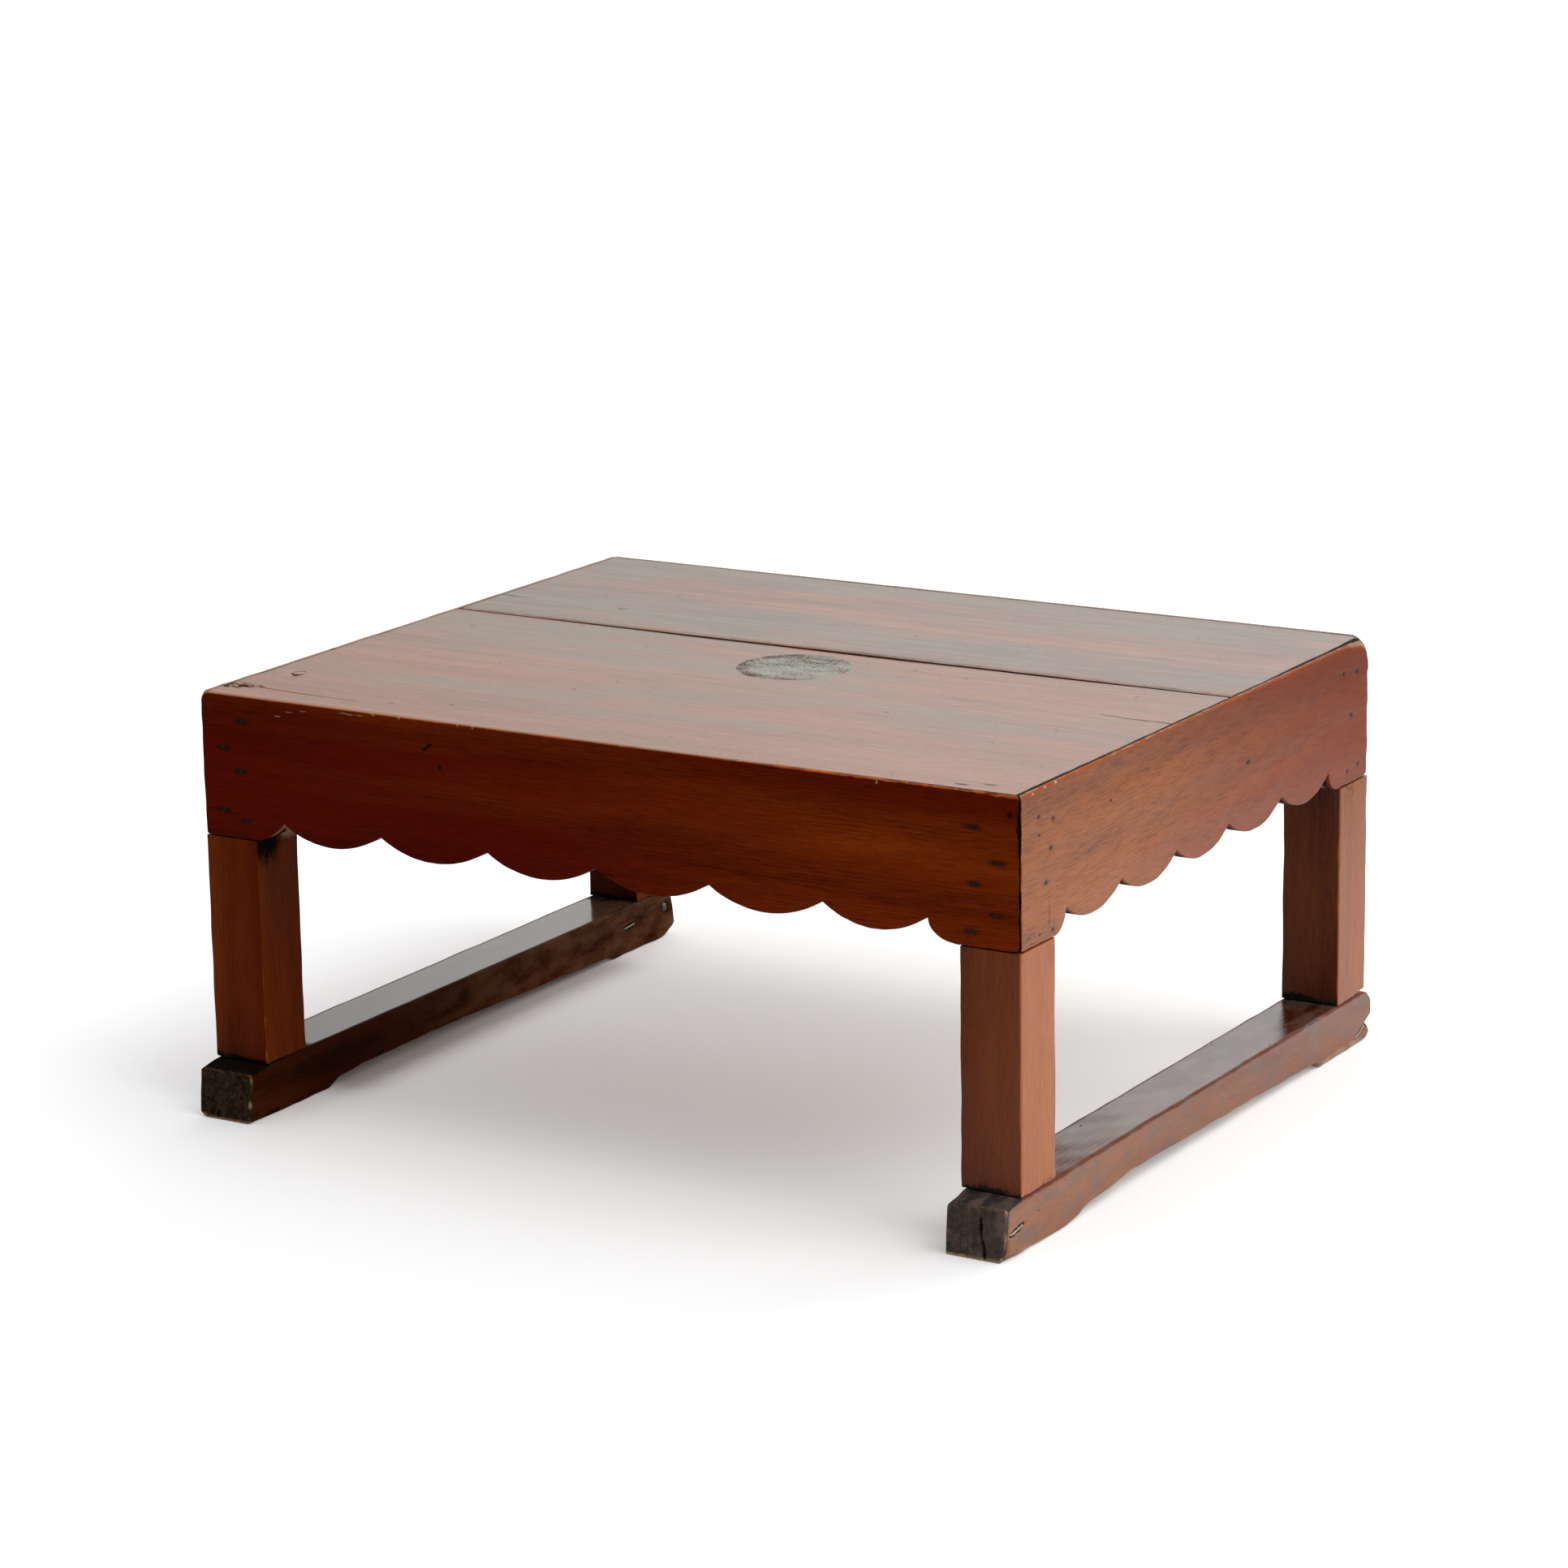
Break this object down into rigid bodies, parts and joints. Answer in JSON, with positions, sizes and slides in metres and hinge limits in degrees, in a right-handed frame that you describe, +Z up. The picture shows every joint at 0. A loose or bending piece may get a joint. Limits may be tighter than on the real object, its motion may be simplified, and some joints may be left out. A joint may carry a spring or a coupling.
{
  "type": "low table",
  "caption": "Low wooden table: boarded top let into scalloped aprons, square corner legs tenoned into floor runners at each end.",
  "frame": {"origin": "on the floor under the middle of the table's overall box", "axes": "+X along the length of the top, to the right seen from the front; +Y to the rear, along the runners; +Z up"},
  "size_m": [0.75, 0.6522, 0.3515],
  "materials": {
    "top_wood": "worn red-brown varnish, scratched and rubbed by use",
    "side_wood": "dark red-brown varnish over straight-grained softwood, worn to orange on the edges",
    "runner_wood": "dark red-brown varnish, scuffed, with dark end grain",
    "bare_wood": "unvarnished aged softwood",
    "iron": "dark rusted wrought iron"
  },
  "bodies": {
    "root": {"batten_left": "bare_wood", "batten_right": "bare_wood", "front_apron": "side_wood", "left_apron": "side_wood", "leg_front_left": "side_wood", "leg_front_right": "side_wood", "leg_rear_left": "side_wood", "leg_rear_right": "side_wood", "nail_front_apron_left_1": "iron", "nail_front_apron_left_2": "iron", "nail_front_apron_left_3": "iron", "nail_front_apron_left_4": "iron", "nail_front_apron_left_5": "iron", "nail_front_apron_right_1": "iron", "nail_front_apron_right_2": "iron", "nail_front_apron_right_3": "iron", "nail_front_apron_right_4": "iron", "nail_front_apron_right_5": "iron", "nail_left_apron_front_1": "iron", "nail_left_apron_front_2": "iron", "nail_left_apron_front_3": "iron", "nail_left_apron_front_4": "iron", "nail_left_apron_front_5": "iron", "nail_left_apron_rear_1": "iron", "nail_left_apron_rear_2": "iron", "nail_left_apron_rear_3": "iron", "nail_left_apron_rear_4": "iron", "nail_left_apron_rear_5": "iron", "nail_rear_apron_left_1": "iron", "nail_rear_apron_left_2": "iron", "nail_rear_apron_left_3": "iron", "nail_rear_apron_left_4": "iron", "nail_rear_apron_left_5": "iron", "nail_rear_apron_right_1": "iron", "nail_rear_apron_right_2": "iron", "nail_rear_apron_right_3": "iron", "nail_rear_apron_right_4": "iron", "nail_rear_apron_right_5": "iron", "nail_right_apron_front_1": "iron", "nail_right_apron_front_2": "iron", "nail_right_apron_front_3": "iron", "nail_right_apron_front_4": "iron", "nail_right_apron_front_5": "iron", "nail_right_apron_rear_1": "iron", "nail_right_apron_rear_2": "iron", "nail_right_apron_rear_3": "iron", "nail_right_apron_rear_4": "iron", "nail_right_apron_rear_5": "iron", "rear_apron": "side_wood", "right_apron": "side_wood", "round_nail_left_runner": "iron", "runner_left": "runner_wood", "runner_right": "runner_wood", "staple_left_runner_inner": "iron", "staple_right_runner_front": "iron", "staple_right_runner_rear": "iron", "top_board_front": "top_wood", "top_board_rear": "top_wood", "top_plug": "top_wood"}
  },
  "joints": []
}
